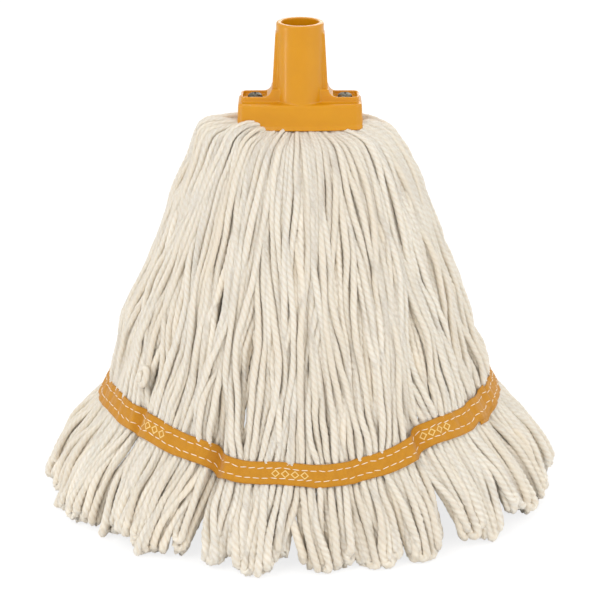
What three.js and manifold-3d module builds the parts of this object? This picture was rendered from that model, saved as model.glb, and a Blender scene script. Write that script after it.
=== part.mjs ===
// A wet mop head. Looped yarn is folded over a clamp bar and pulled up by two bolts into a moulded
// cap with a handle socket. A tape inside and outside the yarn, lockstitched through it, keeps the
// skirt spread. The mop stands on the ends of its yarn.
// Millimetres, +Z up, -Y the front. The origin is on the floor, under the middle of the socket.
import * as THREE from "three";
import { mergeVertices } from "three/addons/utils/BufferGeometryUtils.js";
import Module from "manifold-3d";

const wasm = await Module();
wasm.setup();

// Whole mop
const overallHeight = 350;
const clearance = 0.3; // between pieces that touch

// Handle socket, for a 25 mm handle
const handleDiameter = 25;
const handleSlack = 0.4; // radial, at the mouth
const boreTaper = 0.6; // radial, from the mouth to the seat
const seatThickness = 4; // under the bore
const socketWall = 3.6; // at the mouth
const socketHeight = 55; // above the cap's top face
const socketDraft = 0.9; // radial, from the rim to the cap
const rimRound = 0.9;
const collarHeight = 7; // plain round stretch above the side ribs
const ribThickness = 13;
const ribRise = 0.6; // how far a rib stands out of the socket at its top end
const ribFoot = 2.6; // and at its foot
const footFillet = 5.5;

// Cap, the box that the yarn comes out of
const capHeight = 18;
const capHalfWidth = 43.3;
const capEndHalfDepth = 15.5;
const capBow = 3.2; // the long sides bulge by this at the middle
const capCornerRadius = 5.5;
const capDraft = 0.7; // each side, from the top to the lip
const capEdgeRound = 1.6;
const capLip = 1.4; // the lower edge flares by this
const capLipHeight = 3;
const capWall = 2.4;
const capCeiling = 3;

// Raised tier on the cap, with a pocket over each bolt
const tierHeight = 3.8;
const tierHalfDepth = 10;
const tierEndInset = 2; // from the cap's end
const tierCornerRadius = 3;
const pocketDepth = 2.8;
const pocketWall = 1.6;
const pocketLength = 16.4;
const pocketCornerRadius = 2;

// Clamp: bar, bolts and nuts
const boltDiameter = 4;
const boltHeadDiameter = 10.4;
const boltHeadHeight = 3.4;
const boltTail = 0.8; // thread that shows below the nut
const nutAcrossFlats = 7;
const nutHeight = 3.2;
const barThickness = 4;
const barHalfDepth = 4;
const barEndGap = 4; // from the cap's inner end wall
const centreTapeThickness = 0.8;
const centreTapeWidth = 9;

// Yarn
const hankCount = 14; // the two outer ones lie outside the bolts
const saddleThickness = 5.5; // yarn squeezed over the bar
const lipParting = 1.8; // the hanks draw this much further apart where they turn out over the lip
const skirtThickness = 9;
const browDrop = 12; // below the cap, where the yarn has turned outwards over the lip
const browHalfWidth = 64;
const browHalfDepth = 37;
const shoulderDrop = 36; // below the cap
const shoulderHalfWidth = 82;
const shoulderHalfDepth = 55;
const bellyBulge = 9; // outwards, halfway from the shoulder to the tape
const hemHalfWidth = 183;
const hemHalfDepth = 149;
const hemBulge = 5; // outwards, halfway from the tape to the floor

// Tail tape and its stitching
const tapeWidth = 18;
const tapeThickness = 0.9;
const tapeHeight = 58; // of its middle above the floor
const tapeHalfWidth = 139; // of the yarn's middle there
const tapeHalfDepth = 114;
const tapeLift = 20; // the tape hangs this much higher at the sides than at the front and back
const threadDiameter = 0.8;
const stitchInset = 5; // from the tape's edge to a row of stitches

// Resolution
const roundSegments = 72;
const smallSegments = 28;
const hankSplits = 2; // facets across one hank
const rowsPerSpan = 2; // facets between two points of the yarn's run
const hankSaddleRows = 2;

// Derived levels, from the top down
const capTop = overallHeight - socketHeight;
const capBase = capTop - capHeight;
const tierTop = capTop + tierHeight;
const pocketFloor = tierTop - pocketDepth;
const ceiling = capTop - capCeiling;
const saddleTop = ceiling - centreTapeThickness - 2 * clearance;
const barTop = saddleTop - saddleThickness - clearance;
const barBottom = barTop - barThickness;
const nutBottom = barBottom - clearance - nutHeight;
const tierHalfWidth = capHalfWidth - tierEndInset;
const boltX = tierHalfWidth - pocketWall - pocketLength / 2; // in the middle of its pocket
const boreSeat = ceiling + seatThickness;
const boreMouthRadius = handleDiameter / 2 + handleSlack;
const boreSeatRadius = boreMouthRadius - boreTaper;
const socketRadius = boreMouthRadius + socketWall;
const cavityHalfWidth = capHalfWidth - capWall;
const cavityHalfDepth = capEndHalfDepth - capWall;
const cavityCornerRadius = capCornerRadius - capWall;
const boltHoleRadius = boltDiameter / 2 + clearance;

const lerp = THREE.MathUtils.lerp;

// Manifold solid of a closed three.js geometry.
function solidOf(geometry) {
  const bare = new THREE.BufferGeometry().setAttribute("position", geometry.getAttribute("position"));
  bare.setIndex(geometry.getIndex());
  const merged = mergeVertices(bare, 1e-4);
  return new wasm.Manifold(
    new wasm.Mesh({
      numProp: 3,
      vertProperties: new Float32Array(merged.getAttribute("position").array),
      triVerts: new Uint32Array(merged.getIndex().array),
    }),
  );
}

// Three.js geometry of a manifold solid.
function geometryOf(solid) {
  const mesh = solid.getMesh();
  const positions = new Float32Array(mesh.numVert * 3);
  for (let i = 0; i < mesh.numVert; i++) {
    positions.set(mesh.vertProperties.subarray(i * mesh.numProp, i * mesh.numProp + 3), i * 3);
  }
  const geometry = new THREE.BufferGeometry();
  geometry.setAttribute("position", new THREE.BufferAttribute(positions, 3));
  geometry.setIndex(new THREE.BufferAttribute(new Uint32Array(mesh.triVerts), 1));
  geometry.computeVertexNormals();
  return geometry;
}

// Skin over rings of points that run anticlockwise seen from the end of the run. A closed run meets
// its own first ring; an open one gets a flat lid at each end. The facet that closes each ring is
// split the other way from the rest, so that the side walls of two neighbouring hanks split alike.
function loft(rings, closedRun = false) {
  const count = rings[0].length;
  const positions = rings.flat().flatMap((p) => [p.x, p.y, p.z]);
  const index = [];
  const spans = closedRun ? rings.length : rings.length - 1;
  for (let r = 0; r < spans; r++) {
    const here = r * count;
    const next = ((r + 1) % rings.length) * count;
    for (let i = 0; i < count; i++) {
      const j = (i + 1) % count;
      if (j) index.push(here + i, here + j, next + j, here + i, next + j, next + i);
      else index.push(here + i, here, next + i, here, next, next + i);
    }
  }
  if (!closedRun) {
    const last = (rings.length - 1) * count;
    for (const [a, b, c] of lidTriangles(rings[0])) index.push(c, b, a);
    for (const [a, b, c] of lidTriangles(rings.at(-1))) index.push(last + a, last + b, last + c);
  }
  const geometry = new THREE.BufferGeometry();
  geometry.setAttribute("position", new THREE.Float32BufferAttribute(positions, 3));
  geometry.setIndex(index);
  geometry.computeVertexNormals();
  return geometry;
}

// Triangles of a flat ring, anticlockwise as the ring is.
function lidTriangles(ring) {
  const normal = new THREE.Vector3();
  ring.forEach((p, i) => normal.add(p.clone().cross(ring[(i + 1) % ring.length])));
  normal.normalize();
  const across = ring[1].clone().sub(ring[0]).normalize();
  const up = normal.clone().cross(across);
  const flat = ring.map((p) => new THREE.Vector2(p.dot(across), p.dot(up)));
  return THREE.ShapeUtils.triangulateShape(flat, []);
}

function upright(radiusBottom, radiusTop, bottom, top, segments) {
  const geometry = new THREE.CylinderGeometry(radiusTop, radiusBottom, top - bottom, segments);
  geometry.rotateX(Math.PI / 2);
  return geometry.translate(0, 0, (top + bottom) / 2);
}

function roundedRectangle(halfWidth, halfDepth, radius, centreX = 0) {
  const shape = new THREE.Shape();
  const [left, right] = [centreX - halfWidth, centreX + halfWidth];
  shape.absarc(right - radius, halfDepth - radius, radius, 0, Math.PI / 2);
  shape.absarc(left + radius, halfDepth - radius, radius, Math.PI / 2, Math.PI);
  shape.absarc(left + radius, radius - halfDepth, radius, Math.PI, 1.5 * Math.PI);
  shape.absarc(right - radius, radius - halfDepth, radius, 1.5 * Math.PI, 2 * Math.PI);
  return shape;
}

function extruded(shape, bottom, top, curveSegments) {
  const options = { depth: top - bottom, bevelEnabled: false, curveSegments };
  return new THREE.ExtrudeGeometry(shape, options).translate(0, 0, bottom);
}

// Plan outline of the cap at one level: a rounded rectangle whose long sides bow outwards.
// grow moves it outwards all round.
function capRing(level, grow) {
  const halfWidth = capHalfWidth + grow;
  const halfDepth = capEndHalfDepth + grow;
  const radius = Math.max(capCornerRadius + grow, 1);
  const flat = halfWidth - radius;
  const corners = [
    [1, 1, 0],
    [-1, 1, 1],
    [-1, -1, 2],
    [1, -1, 3],
  ];
  const cornerSteps = 6;
  const sideSteps = 12;
  const ring = [];
  const bowAt = (x) => capBow * (1 - (x / flat) ** 2);
  for (const [sx, sy, quarter] of corners) {
    for (let i = 0; i <= cornerSteps; i++) {
      const turn = (quarter + i / cornerSteps) * (Math.PI / 2);
      const x = sx * flat + radius * Math.cos(turn);
      const y = sy * (halfDepth - radius) + radius * Math.sin(turn);
      ring.push(new THREE.Vector3(x, y, level));
    }
    if (quarter % 2 === 0) {
      for (let i = 1; i < sideSteps; i++) {
        const x = sx * flat * (1 - (2 * i) / sideSteps);
        ring.push(new THREE.Vector3(x, sy * (halfDepth + bowAt(x)), level));
      }
    }
  }
  return ring;
}

// Outer form of the cap: flared lip, drafted sides and a rounded upper edge.
function capBlock() {
  const rings = [
    capRing(capBase, capDraft + capLip),
    capRing(capBase + capLipHeight / 3, capDraft + capLip),
    capRing(capBase + capLipHeight, capDraft),
  ];
  const roundSteps = 3;
  for (let i = 0; i <= roundSteps; i++) {
    const turn = (i / roundSteps) * (Math.PI / 2);
    const level = capTop - capEdgeRound * (1 - Math.sin(turn));
    rings.push(capRing(level, -capEdgeRound * (1 - Math.cos(turn))));
  }
  return loft(rings);
}

// One side rib with its fillet down to the tier, drawn in the XZ plane and as deep as thickness.
function rib(side, thickness, top, bottom, outTop, outBottom, fillet) {
  const shape = new THREE.Shape();
  shape.moveTo(0, top);
  shape.lineTo(0, bottom);
  shape.lineTo(outBottom + fillet, bottom);
  if (fillet > 0) {
    shape.absarc(outBottom + fillet, bottom + fillet, fillet, 1.5 * Math.PI, Math.PI, true);
  }
  shape.lineTo(outTop, top);
  const options = { depth: thickness, bevelEnabled: false, curveSegments: 6 };
  const geometry = new THREE.ExtrudeGeometry(shape, options);
  geometry.translate(0, 0, -thickness / 2).rotateX(Math.PI / 2);
  return side > 0 ? geometry : geometry.rotateZ(Math.PI);
}

function socketCap() {
  const rim = overallHeight;
  const tubeRadiusAtCap = socketRadius + socketDraft;
  const tube = new THREE.LatheGeometry(
    [
      new THREE.Vector2(0, ceiling),
      new THREE.Vector2(tubeRadiusAtCap, ceiling),
      new THREE.Vector2(tubeRadiusAtCap, capTop),
      new THREE.Vector2(socketRadius, rim - rimRound),
      new THREE.Vector2(socketRadius - 0.3 * rimRound, rim - 0.3 * rimRound),
      new THREE.Vector2(socketRadius - rimRound, rim),
      new THREE.Vector2(0, rim),
    ],
    roundSegments,
  ).rotateX(Math.PI / 2);
  const tier = roundedRectangle(tierHalfWidth, tierHalfDepth, tierCornerRadius);
  let solid = solidOf(capBlock())
    .add(solidOf(tube))
    .add(solidOf(extruded(tier, ceiling, tierTop, 4)));
  const ribTop = rim - collarHeight;
  const footOut = tubeRadiusAtCap + ribFoot;
  for (const side of [-1, 1]) {
    const web = rib(side, ribThickness, ribTop, capTop, socketRadius + ribRise, footOut, 0);
    const footTop = tierTop + footFillet;
    const foot = rib(side, 2 * tierHalfDepth, footTop, tierTop, footOut, footOut, footFillet);
    solid = solid.add(solidOf(web)).add(solidOf(foot));
  }

  const cavity = [
    cavityRing(capBase - 1, cavityHalfWidth, cavityHalfDepth),
    cavityRing(ceiling, cavityHalfWidth, cavityHalfDepth),
  ];
  const bore = upright(boreSeatRadius, boreMouthRadius, boreSeat, rim, roundSegments);
  const boreLead = upright(boreMouthRadius, boreMouthRadius, rim, rim + 1, roundSegments);
  solid = solid
    .subtract(solidOf(loft(cavity)))
    .subtract(solidOf(bore))
    .subtract(solidOf(boreLead));
  for (const side of [-1, 1]) {
    const pocketHalfDepth = tierHalfDepth - pocketWall;
    const pocket = roundedRectangle(
      pocketLength / 2,
      pocketHalfDepth,
      pocketCornerRadius,
      side * boltX,
    );
    const pocketTop = tierTop + footFillet + 1;
    const hole = upright(boltHoleRadius, boltHoleRadius, capBase, tierTop, smallSegments);
    solid = solid
      .subtract(solidOf(extruded(pocket, pocketFloor, pocketTop, 3)))
      .subtract(solidOf(hole.translate(side * boltX, 0, 0)));
  }
  return geometryOf(solid);
}

// Plan of the space inside the cap, a plain rounded rectangle.
function cavityRing(level, halfWidth, halfDepth) {
  const shape = roundedRectangle(halfWidth, halfDepth, cavityCornerRadius);
  const points = shape.getPoints(4);
  const ring = points.map((p) => new THREE.Vector3(p.x, p.y, level));
  return ring.filter((p, i) => p.distanceTo(ring[(i + 1) % ring.length]) > 1e-3);
}

function clampBar() {
  const halfWidth = cavityHalfWidth - barEndGap;
  const shape = roundedRectangle(halfWidth, barHalfDepth, 2);
  return drilled(extruded(shape, barBottom, barTop, 3), barBottom, barTop);
}

function centreTape() {
  const halfWidth = cavityHalfWidth - barEndGap;
  const bottom = ceiling - clearance - centreTapeThickness;
  const shape = roundedRectangle(halfWidth, centreTapeWidth / 2, 0.5);
  return drilled(extruded(shape, bottom, ceiling - clearance, 1), bottom, ceiling);
}

// The geometry with a hole for each bolt.
function drilled(geometry, bottom, top) {
  let solid = solidOf(geometry);
  for (const side of [-1, 1]) {
    const hole = upright(boltHoleRadius, boltHoleRadius, bottom - 1, top + 1, smallSegments);
    solid = solid.subtract(solidOf(hole.translate(side * boltX, 0, 0)));
  }
  return geometryOf(solid);
}

// Bolt with a low domed head and a cross recess, on its own axis.
function bolt() {
  const under = pocketFloor + clearance;
  const headRadius = boltHeadDiameter / 2;
  const rimHeight = 0.7;
  const profile = [
    new THREE.Vector2(0, nutBottom - boltTail),
    new THREE.Vector2(boltDiameter / 2 - 0.4, nutBottom - boltTail),
    new THREE.Vector2(boltDiameter / 2, nutBottom - boltTail + 0.4),
    new THREE.Vector2(boltDiameter / 2, under),
    new THREE.Vector2(headRadius, under),
    new THREE.Vector2(headRadius, under + rimHeight),
  ];
  const domeSteps = 5;
  for (let i = 1; i <= domeSteps; i++) {
    const turn = (i / domeSteps) * (Math.PI / 2);
    const height = rimHeight + (boltHeadHeight - rimHeight) * Math.sin(turn);
    profile.push(new THREE.Vector2(i === domeSteps ? 0 : headRadius * Math.cos(turn), under + height));
  }
  let solid = solidOf(new THREE.LatheGeometry(profile, smallSegments).rotateX(Math.PI / 2));
  const recessDepth = 1.6;
  for (const turn of [0, Math.PI / 2]) {
    const slot = new THREE.BoxGeometry(0.45 * boltHeadDiameter, 0.9, 2 * recessDepth);
    slot.rotateZ(turn).translate(0, 0, under + boltHeadHeight);
    solid = solid.subtract(solidOf(slot));
  }
  return geometryOf(solid);
}

function nut() {
  const hexagon = new THREE.Shape();
  for (let i = 0; i < 6; i++) {
    const turn = (i * Math.PI) / 3; // two flats lie along the yarn
    const corner = nutAcrossFlats / 2 / Math.cos(Math.PI / 6);
    hexagon[i ? "lineTo" : "moveTo"](corner * Math.cos(turn), corner * Math.sin(turn));
  }
  const hole = upright(boltHoleRadius, boltHoleRadius, nutBottom - 1, barBottom, smallSegments);
  return geometryOf(
    solidOf(extruded(hexagon, nutBottom, nutBottom + nutHeight, 1)).subtract(solidOf(hole)),
  );
}

// Where the middle of the yarn runs below the cap: x is its half width at the sides, y its half
// depth at the front, z its level. It comes out of the cap, turns out over the lip, falls from its
// shoulder to the tape and flares to the floor. The tape covers the run's span number tapeSpan.
const tapeSpan = 4;
function skirtRun() {
  const mouthDepth = (cavityHalfDepth + barHalfDepth) / 2;
  const shoulderLevel = capBase - shoulderDrop;
  const tapeTop = tapeHeight + tapeWidth / 2;
  const tapeBottom = tapeHeight - tapeWidth / 2;
  const slope = (hemHalfWidth - tapeHalfWidth) / tapeHeight / 4; // the skirt leans out under the tape
  const tapeLean = (slope * tapeWidth) / 2;
  const halfway = (a, b, bulge) => (a + b) / 2 + bulge;
  return new THREE.CatmullRomCurve3(
    [
      new THREE.Vector3(cavityHalfWidth - mouthDepth / 2, mouthDepth, capBase),
      new THREE.Vector3(browHalfWidth, browHalfDepth, capBase - browDrop),
      new THREE.Vector3(shoulderHalfWidth, shoulderHalfDepth, shoulderLevel),
      new THREE.Vector3(
        halfway(shoulderHalfWidth, tapeHalfWidth, bellyBulge),
        halfway(shoulderHalfDepth, tapeHalfDepth, bellyBulge),
        halfway(shoulderLevel, tapeTop, 0),
      ),
      new THREE.Vector3(tapeHalfWidth - tapeLean, tapeHalfDepth - tapeLean, tapeTop),
      new THREE.Vector3(tapeHalfWidth + tapeLean, tapeHalfDepth + tapeLean, tapeBottom),
      new THREE.Vector3(
        halfway(tapeHalfWidth, hemHalfWidth, hemBulge),
        halfway(tapeHalfDepth, hemHalfDepth, hemBulge),
        tapeBottom / 2,
      ),
      new THREE.Vector3(hemHalfWidth, hemHalfDepth, 0),
    ],
    false,
    "centripetal",
  );
}

// Rows of the skirt from the cap to the floor. place counts the run's spans. Each row has the run's
// point, the direction out of the yarn in the (half width, level) plane, and fan, from 0 where the
// yarn still lies in line along the bar to 1 where it stands all round. lift is the share of the
// tape's lift that the row takes, from none at the cap and the floor to all of it at the tape.
function skirtRows() {
  const run = skirtRun();
  const tapeTop = run.points[tapeSpan].z;
  const tapeBottom = run.points[tapeSpan + 1].z;
  const spans = run.points.length - 1;
  const places = [];
  for (let span = 0; span < spans; span++) {
    const steps = span === tapeSpan ? 1 : rowsPerSpan;
    for (let step = 0; step < steps; step++) places.push(span + step / steps);
  }
  places.push(spans);
  return places.map((place) => {
    const ahead = run.getTangent(place / spans);
    const fan = THREE.MathUtils.smoothstep(place, 0, 1);
    const flat = 1 - THREE.MathUtils.smoothstep(place, spans - 1, spans);
    const tilt = Math.atan2(ahead.x, -ahead.z) * Math.min(fan, flat);
    const at = run.getPoint(place / spans);
    const above = 1 - THREE.MathUtils.smoothstep(at.z, tapeTop, capBase - browDrop);
    const lift = tapeLift * Math.min(above, at.z / tapeBottom, 1);
    return { place, at, out: Math.cos(tilt), up: Math.sin(tilt), fan, lift };
  });
}

// A point of the skirt. turn goes from -1 at the left side through 0 at the front to 1 at the right
// side; lineX is where the same yarn lies along the bar; offset is the distance out of its middle.
function skirtPoint(row, turn, lineX, offset) {
  const angle = (turn * Math.PI) / 2;
  const channel = cavityHalfDepth - barHalfDepth - 2 * clearance;
  const lineOffset = THREE.MathUtils.clamp(offset / (skirtThickness / 2), -1, 1) * (channel / 2);
  const x = (row.at.x + row.out * offset) * Math.sin(angle);
  const y = (row.at.y + row.out * offset) * Math.cos(angle) + clearance;
  const lineY = (cavityHalfDepth + barHalfDepth) / 2 + lineOffset;
  const lift = row.lift * THREE.MathUtils.smoothstep(Math.abs(turn), 0.13, 0.56);
  return new THREE.Vector3(
    lerp(lineX, x, row.fan),
    -lerp(lineY, y, row.fan),
    row.at.z + row.up * offset + lift,
  );
}

// Left and right end of each hank along the bar: one hank outside each bolt and the rest shared
// evenly between the bolts.
function barSpan(number) {
  const end = cavityHalfWidth - cavityCornerRadius;
  if (number === 0) return [-end, -boltX];
  if (number === hankCount - 1) return [boltX, end];
  const step = (2 * boltX) / (hankCount - 2);
  return [(number - 1) * step - boltX, number * step - boltX];
}

// One hank of looped yarn, from the front hem up over the bar and down to the back hem.
function hank(number) {
  const half = skirtThickness / 2;
  const section = (point) => {
    const across = Array.from({ length: hankSplits + 1 }, (_, i) => i / hankSplits);
    return [
      ...across.map((share) => point(share, 1)),
      ...across.reverse().map((share) => point(share, -1)),
    ];
  };
  const [left, right] = barSpan(number);
  const inLine = (share) => lerp(left + clearance / 2, right - clearance / 2, share);
  const legRing = (row) => {
    const width = ((row.at.x + row.at.y) * Math.PI) / 2 / hankCount;
    const parting = clearance + lipParting * 4 * row.fan * (1 - row.fan);
    const inset = parting / 2 / width;
    return section((share, side) => {
      const turn = -1 + (2 * (number + lerp(inset, 1 - inset, share))) / hankCount;
      return skirtPoint(row, turn, inLine(share), side * half);
    });
  };
  const front = skirtRows().reverse().map(legRing);

  // Up the channel beside the bar, then round the bar's top edge as a quarter of an ellipse.
  const channelReach = cavityHalfDepth - clearance - barHalfDepth;
  for (let i = 0; i <= hankSaddleRows; i++) {
    const turn = (i / hankSaddleRows) * (Math.PI / 2);
    front.push(
      section((share, side) => {
        const reachY = side > 0 ? channelReach : clearance;
        const reachZ = side > 0 ? saddleTop - barTop : clearance;
        const y = -barHalfDepth - reachY * Math.cos(turn);
        return new THREE.Vector3(inLine(share), y, barTop + reachZ * Math.sin(turn));
      }),
    );
  }
  const back = front.map((ring) => ring.map((p) => new THREE.Vector3(p.x, -p.y, p.z))).reverse();
  let solid = solidOf(loft([...front, ...back]));
  for (const side of [-1, 1]) {
    const shank = upright(boltHoleRadius, boltHoleRadius, barTop - 1, ceiling, smallSegments);
    solid = solid.subtract(solidOf(shank.translate(side * boltX, 0, 0)));
  }
  return geometryOf(solid);
}

// A closed ring round the skirt. profile lists its corners as [share, offset]: share 0 is the
// tape's upper edge and 1 its lower edge, offset the distance out of the yarn's middle.
function skirtRing(profile) {
  const rows = skirtRows();
  const upper = rows.find((row) => row.place === tapeSpan);
  const lower = rows.find((row) => row.place === tapeSpan + 1);
  const facets = hankCount * hankSplits;
  const rings = [];
  const cornerAt = (turn, share, offset) => {
    const a = skirtPoint(upper, turn, 0, offset);
    return a.lerp(skirtPoint(lower, turn, 0, offset), share);
  };
  for (const facing of [1, -1]) {
    for (let i = 0; i < facets; i++) {
      const turn = facing * lerp(-1, 1, i / facets);
      const corners = profile.map(([share, offset]) => cornerAt(turn, share, offset));
      rings.push(corners.map((p) => new THREE.Vector3(p.x, facing * p.y, p.z)));
    }
  }
  return loft(rings, true);
}

// A tape against the outside (side 1) or the inside (side -1) of the yarn.
function tapeRing(side) {
  const near = side * (skirtThickness / 2 + clearance);
  const far = near + side * tapeThickness;
  const [inner, outer] = side > 0 ? [near, far] : [far, near];
  return skirtRing([
    [0, inner],
    [0, outer],
    [1, outer],
    [1, inner],
  ]);
}

// One thread of a lockstitched row, as the plain ring that it follows on the tape.
function threadRing(side, rowShare) {
  const surface = skirtThickness / 2 + clearance + tapeThickness + clearance;
  const middle = side * (surface + threadDiameter / 2);
  const radius = threadDiameter / 2;
  const shareRadius = radius / tapeWidth;
  return skirtRing([
    [rowShare, middle - radius],
    [rowShare - shareRadius, middle],
    [rowShare, middle + radius],
    [rowShare + shareRadius, middle],
  ]);
}

const yellowPlastic = new THREE.MeshStandardMaterial({ color: "#e9a41c", roughness: 0.38 });
const yellowTape = new THREE.MeshStandardMaterial({ color: "#eaa21f", roughness: 0.85 });
const whiteThread = new THREE.MeshStandardMaterial({ color: "#f4ecd9", roughness: 0.9 });
const naturalYarn = new THREE.MeshStandardMaterial({ color: "#e9e0cf", roughness: 0.95 });
const zincSteel = new THREE.MeshStandardMaterial({ color: "#9a9a94", roughness: 0.35, metalness: 1 });
const greyPlastic = new THREE.MeshStandardMaterial({ color: "#55565a", roughness: 0.5 });

const mop = new THREE.Group();

function place(name, geometry, material, x = 0) {
  const mesh = new THREE.Mesh(geometry, material);
  mesh.name = name;
  mesh.position.x = x;
  mop.add(mesh);
}

place("socket_cap", socketCap(), yellowPlastic);
place("clamp_bar", clampBar(), greyPlastic);
place("centre_tape", centreTape(), yellowTape);
place("bolt_left", bolt(), zincSteel, -boltX);
place("bolt_right", bolt(), zincSteel, boltX);
place("nut_left", nut(), zincSteel, -boltX);
place("nut_right", nut(), zincSteel, boltX);
for (let i = 0; i < hankCount; i++) {
  place(`yarn_hank_${String(i + 1).padStart(2, "0")}`, hank(i), naturalYarn);
}
place("tail_tape_outer", tapeRing(1), yellowTape);
place("tail_tape_inner", tapeRing(-1), yellowTape);
const stitchShare = stitchInset / tapeWidth;
place("upper_needle_thread", threadRing(1, stitchShare), whiteThread);
place("lower_needle_thread", threadRing(1, 1 - stitchShare), whiteThread);
place("upper_bobbin_thread", threadRing(-1, stitchShare), whiteThread);
place("lower_bobbin_thread", threadRing(-1, 1 - stitchShare), whiteThread);

export default mop;
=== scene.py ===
# A looped-end wet mop head that stands on its yarn: moulded cap, twisted yarn, tail tape, stitches.
# Metres, +Z up, -Y the front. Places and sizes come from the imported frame.
import math

import bpy
import numpy as np
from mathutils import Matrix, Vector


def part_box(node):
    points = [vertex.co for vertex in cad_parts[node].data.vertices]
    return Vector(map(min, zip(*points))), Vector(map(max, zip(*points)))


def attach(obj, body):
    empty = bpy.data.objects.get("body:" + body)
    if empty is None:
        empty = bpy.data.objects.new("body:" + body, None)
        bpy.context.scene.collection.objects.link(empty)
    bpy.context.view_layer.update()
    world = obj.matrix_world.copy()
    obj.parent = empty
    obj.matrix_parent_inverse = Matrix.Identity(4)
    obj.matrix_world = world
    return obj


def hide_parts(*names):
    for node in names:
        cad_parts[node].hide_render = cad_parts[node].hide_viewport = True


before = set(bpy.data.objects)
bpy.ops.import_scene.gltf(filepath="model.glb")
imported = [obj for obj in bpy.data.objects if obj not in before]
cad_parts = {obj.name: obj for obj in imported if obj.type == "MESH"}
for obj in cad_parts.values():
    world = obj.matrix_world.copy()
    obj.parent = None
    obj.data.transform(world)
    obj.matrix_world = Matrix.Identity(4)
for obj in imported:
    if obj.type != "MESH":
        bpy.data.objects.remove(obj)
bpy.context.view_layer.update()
mm = 0.001
fullTurn = 2 * math.pi
random = np.random.default_rng(7)

# ---- camera ----
viewpoint = {"place": (0, -1.2, 0.6151), "lookDown": 21.47, "lens": 105.4}
camera = bpy.data.objects.new("camera", bpy.data.cameras.new("camera"))
camera.data.lens = viewpoint["lens"]
camera.location = viewpoint["place"]
camera.rotation_euler = (math.radians(90 - viewpoint["lookDown"]), 0, 0)
bpy.context.scene.collection.objects.link(camera)
bpy.context.scene.camera = camera


# ---- meshes from arrays ----
def addMesh(name, points, quads, corners=None):
    # points is n by 3, quads is m by 4 corner numbers, corners is m by 4 by 2 places in OFBake
    mesh = bpy.data.meshes.new(name)
    mesh.vertices.add(len(points))
    mesh.vertices.foreach_set("co", np.asarray(points, np.float32).ravel())
    mesh.loops.add(quads.size)
    mesh.loops.foreach_set("vertex_index", quads.astype(np.int32).ravel())
    mesh.polygons.add(len(quads))
    mesh.polygons.foreach_set("loop_start", np.arange(0, quads.size, 4, dtype=np.int32))
    mesh.polygons.foreach_set("use_smooth", np.full(len(quads), True))
    mesh.update(calc_edges=True)
    if corners is not None:
        bake = mesh.uv_layers.new(name="OFBake")
        bake.data.foreach_set("uv", corners.astype(np.float32).ravel())
    piece = bpy.data.objects.new(name, mesh)
    bpy.context.scene.collection.objects.link(piece)
    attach(piece, "root")
    return piece


def addNumbers(piece, name, values):
    # one number for each vertex, or three
    kind = "FLOAT" if values.ndim == 1 else "FLOAT_VECTOR"
    layer = piece.data.attributes.new(name, kind, "POINT")
    layer.data.foreach_set("value" if values.ndim == 1 else "vector", values.astype(np.float32).ravel())


def gridQuads(rows, columns, closedRows=False, closedColumns=False):
    # quads over a rows by columns grid of points, row after row
    i = np.arange(rows if closedRows else rows - 1)[:, None]
    k = np.arange(columns if closedColumns else columns - 1)[None, :]
    nextI, nextK = (i + 1) % rows, (k + 1) % columns
    quads = np.stack(np.broadcast_arrays(i * columns + k, i * columns + nextK,
                                         nextI * columns + nextK, nextI * columns + k), -1)
    return quads.reshape(-1, 4)


def unit(vectors):
    return vectors / np.linalg.norm(vectors, axis=-1, keepdims=True)


def smoothStep(values, low, high):
    share = np.clip((values - low) / (high - low), 0, 1)
    return share * share * (3 - 2 * share)


def blend(a, b, share):
    return a + (b - a) * share


def bell(values, middle, spread):
    # 1 at the middle, falling off on both sides as exp(-x^2)
    return np.exp(-(((values - middle) / spread) ** 2))


def turnFrom(bearing, degrees):
    # the angle from a bearing in degrees to this one, the short way round
    return np.angle(np.exp(1j * (bearing - math.radians(degrees))))


def lengthAlong(points):
    # distance from the first point to each one, along the line through them
    steps = np.linalg.norm(np.diff(points, axis=0), axis=1)
    return np.concatenate([[0], np.cumsum(steps)])


def wander(rows, along, slowest, layers=3):
    # each row is a different sum of sine waves along its length, from about -1 to 1
    total = np.zeros((rows, along.shape[-1]))
    for layer in range(layers):
        pace = slowest * (1.6**layer) * random.uniform(0.8, 1.25, (rows, 1))
        total += np.sin(fullTurn * (pace * along + random.random((rows, 1)))) / 1.5**layer
    return total / 1.6


# ---- the skirt that the yarn and the tape follow ----
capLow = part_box("socket_cap")[0]
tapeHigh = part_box("tail_tape_outer")[1]
skirt = {
    "mouth": (36 * mm, 8.6 * mm),  # half width and half depth of the yarn's middle in the cap
    "brow": (62 * mm, 38 * mm),
    "browDrop": 11 * mm,
    "shoulder": (77 * mm, 54 * mm),
    "shoulderDrop": 34 * mm,
    "waist": (107 * mm, 86 * mm),
    "waistDrop": 121 * mm,
    "tapeReach": 5.5 * mm,  # from the yarn's middle to the tape's outer face
    "hemBulge": 6 * mm,
    "hem": (188 * mm, 152 * mm),
    "tapeLift": 20 * mm,  # the tape hangs this much higher at the sides than at the front
    "liftComes": (12, 50),  # degrees from the front between which the lift comes in
    "liftGoes": (120, 165),  # and between which some of it goes again
    "liftLost": 0.6,  # share of the lift that goes
    "liftBegins": 30 * mm,  # length from the cap at which the yarn begins to share the lift
    "creaseAbove": 50 * mm,  # how far a crease reaches above the tape
    "creaseBelow": 75 * mm,
    "inLine": 0.7,  # share of a layer's offset that is left in the line of yarn along the bar
    "thickness": 9 * mm,
    "readings": 600,  # of the skirt's curve
}
mouthLevel = capLow.z
tapeLevel = 58.5 * mm
tapeWidth = 18 * mm
tapeMiddle = (tapeHigh.x - skirt["tapeReach"], tapeHigh.y - skirt["tapeReach"])
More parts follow.
